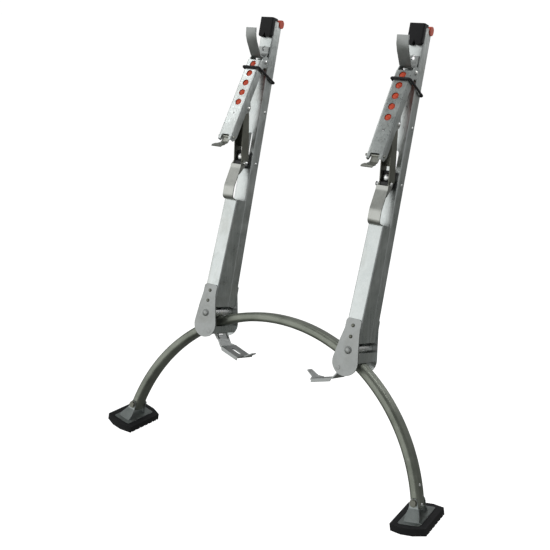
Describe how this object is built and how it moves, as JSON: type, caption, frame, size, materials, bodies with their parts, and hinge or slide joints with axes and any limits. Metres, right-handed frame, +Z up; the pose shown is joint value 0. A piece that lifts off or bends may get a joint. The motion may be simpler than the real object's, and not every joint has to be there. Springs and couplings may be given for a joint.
{
  "type": "ladder leveller",
  "caption": "Clip-on ladder leveller: a braked arched tube with swivelling rubber feet slides through brackets under uprights that hook onto ladder rungs.",
  "frame": {"origin": "middle of the plan, at the level of the lowest sole edges", "axes": "+X to the user's right along the spread of the feet, +Y away from the user towards the back, +Z up; the uprights lean back 15 degrees"},
  "size_m": [0.7888, 0.3316, 0.8942],
  "materials": {
    "galvanised_steel": "galvanised, satin with fine spangle",
    "plain_steel": "rolled, satin",
    "tube_steel": "olive-grey passivated, satin",
    "bright_steel": "bright zinc",
    "black_rubber": "moulded, matt",
    "orange_plastic": "satin moulded",
    "black_nylon": "satin moulded"
  },
  "bodies": {
    "left_upright": {"left_upper_channel": "galvanised_steel", "left_lower_channel": "galvanised_steel", "left_upper_hook": "galvanised_steel", "left_top_pad": "black_rubber", "left_end_cap": "orange_plastic", "left_lever_bracket": "plain_steel", "left_lever_pin": "bright_steel", "left_front_plate": "galvanised_steel", "left_rear_plate": "galvanised_steel", "left_main_bolt": "bright_steel", "left_pedal_pin": "bright_steel", "left_pedal_spring": "plain_steel", "left_elastic_band": "black_rubber"},
    "arch": {"arch_tube": "tube_steel"},
    "right_upright": {"right_upper_channel": "galvanised_steel", "right_lower_channel": "galvanised_steel", "right_upper_hook": "galvanised_steel", "right_top_pad": "black_rubber", "right_end_cap": "orange_plastic", "right_lever_bracket": "plain_steel", "right_lever_pin": "bright_steel", "right_front_plate": "galvanised_steel", "right_rear_plate": "galvanised_steel", "right_main_bolt": "bright_steel", "right_pedal_pin": "bright_steel", "right_pedal_spring": "plain_steel", "right_elastic_band": "black_rubber"},
    "left_lever": {"left_lever": "galvanised_steel", "left_lever_insert": "orange_plastic", "left_link_pin": "bright_steel"},
    "left_catch": {"left_lever_catch": "plain_steel"},
    "left_link": {"left_link": "plain_steel"},
    "left_shoe": {"left_slide_shoe": "black_nylon", "left_slide_bolt": "bright_steel", "left_hook_pin": "bright_steel"},
    "left_hook": {"left_lower_hook": "galvanised_steel"},
    "left_roller": {"left_guide_roller": "bright_steel"},
    "left_pedal": {"left_pedal": "galvanised_steel", "left_brake_cam": "plain_steel"},
    "left_foot": {"left_foot_bracket": "galvanised_steel", "left_foot_pad": "black_rubber", "left_foot_bolt": "bright_steel"},
    "right_lever": {"right_lever": "galvanised_steel", "right_lever_insert": "orange_plastic", "right_link_pin": "bright_steel"},
    "right_catch": {"right_lever_catch": "plain_steel"},
    "right_link": {"right_link": "plain_steel"},
    "right_shoe": {"right_slide_shoe": "black_nylon", "right_slide_bolt": "bright_steel", "right_hook_pin": "bright_steel"},
    "right_hook": {"right_lower_hook": "galvanised_steel"},
    "right_roller": {"right_guide_roller": "bright_steel"},
    "right_pedal": {"right_pedal": "galvanised_steel", "right_brake_cam": "plain_steel"},
    "right_foot": {"right_foot_bracket": "galvanised_steel", "right_foot_pad": "black_rubber", "right_foot_bolt": "bright_steel"}
  },
  "joints": [
    {"name": "arch_swing", "type": "hinge", "parent": "left_upright", "child": "arch", "pos_m": [0, -0.12861, -0.04651], "axis": [0, 0.9659, -0.2588], "range_deg": [-14, 14]},
    {"name": "right_upright_swing", "type": "hinge", "parent": "arch", "child": "right_upright", "pos_m": [0, -0.12861, -0.04651], "axis": [0, 0.9659, -0.2588], "range_deg": [-14, 14]},
    {"name": "left_foot_swivel", "type": "hinge", "parent": "arch", "child": "left_foot", "pos_m": [-0.34967, -0.10436, 0.04399], "axis": [0, 0.9659, -0.2588], "range_deg": [-30, 30]},
    {"name": "left_lever_swing", "type": "hinge", "parent": "left_upright", "child": "left_lever", "pos_m": [-0.173, 0.1006, 0.80312], "axis": [1, 0, 0], "range_deg": [-10, 17], "deforming": ["left_elastic_band"]},
    {"name": "left_link_swing", "type": "hinge", "parent": "left_lever", "child": "left_link", "pos_m": [-0.173, 0.0427, 0.7119], "axis": [1, 0, 0], "range_deg": [-33, 19.5]},
    {"name": "left_shoe_swing", "type": "hinge", "parent": "left_link", "child": "left_shoe", "pos_m": [-0.173, 0.03385, 0.59842], "axis": [1, 0, 0], "range_deg": [-9.5, 16]},
    {"name": "left_hook_swing", "type": "hinge", "parent": "left_shoe", "child": "left_hook", "pos_m": [-0.173, 0.03385, 0.59842], "axis": [1, 0, 0], "range_deg": [-14, 0]},
    {"name": "left_catch_swing", "type": "hinge", "parent": "left_lever", "child": "left_catch", "pos_m": [-0.173, -0.00998, 0.65938], "axis": [1, 0, 0], "range_deg": [-12, 4], "stiffness_Nm_per_rad": 0.4},
    {"name": "left_roller_spin", "type": "hinge", "parent": "left_upright", "child": "left_roller", "pos_m": [-0.173, -0.03983, 0.2848], "axis": [0, 0.9659, -0.2588], "continuous": true},
    {"name": "left_pedal_press", "type": "hinge", "parent": "left_upright", "child": "left_pedal", "pos_m": [-0.158, -0.04941, 0.24907], "axis": [0, 0.9659, -0.2588], "range_deg": [0, 18], "stiffness_Nm_per_rad": 1.5, "springref_deg": -20.05},
    {"name": "right_foot_swivel", "type": "hinge", "parent": "arch", "child": "right_foot", "pos_m": [0.34967, -0.10436, 0.04399], "axis": [0, -0.9659, 0.2588], "range_deg": [-30, 30]},
    {"name": "right_lever_swing", "type": "hinge", "parent": "right_upright", "child": "right_lever", "pos_m": [0.173, 0.1006, 0.80312], "axis": [1, 0, 0], "range_deg": [-10, 17], "deforming": ["right_elastic_band"]},
    {"name": "right_link_swing", "type": "hinge", "parent": "right_lever", "child": "right_link", "pos_m": [0.173, 0.0427, 0.7119], "axis": [1, 0, 0], "range_deg": [-33, 19.5]},
    {"name": "right_shoe_swing", "type": "hinge", "parent": "right_link", "child": "right_shoe", "pos_m": [0.173, 0.03385, 0.59842], "axis": [1, 0, 0], "range_deg": [-9.5, 16]},
    {"name": "right_hook_swing", "type": "hinge", "parent": "right_shoe", "child": "right_hook", "pos_m": [0.173, 0.03385, 0.59842], "axis": [1, 0, 0], "range_deg": [-14, 0]},
    {"name": "right_catch_swing", "type": "hinge", "parent": "right_lever", "child": "right_catch", "pos_m": [0.173, -0.00998, 0.65938], "axis": [1, 0, 0], "range_deg": [-12, 4], "stiffness_Nm_per_rad": 0.4},
    {"name": "right_roller_spin", "type": "hinge", "parent": "right_upright", "child": "right_roller", "pos_m": [0.173, -0.03983, 0.2848], "axis": [0, 0.9659, -0.2588], "continuous": true},
    {"name": "right_pedal_press", "type": "hinge", "parent": "right_upright", "child": "right_pedal", "pos_m": [0.158, -0.04941, 0.24907], "axis": [0, -0.9659, 0.2588], "range_deg": [0, 18], "stiffness_Nm_per_rad": 1.5, "springref_deg": -20.05}
  ],
  "couplings": [
    {"joint": "right_upright_swing", "follows": "arch_swing", "ratio": -1},
    {"joint": "left_link_swing", "follows": "left_lever_swing", "ratio": -1.93},
    {"joint": "left_shoe_swing", "follows": "left_lever_swing", "ratio": 0.93},
    {"joint": "right_link_swing", "follows": "right_lever_swing", "ratio": -1.93},
    {"joint": "right_shoe_swing", "follows": "right_lever_swing", "ratio": 0.93}
  ]
}
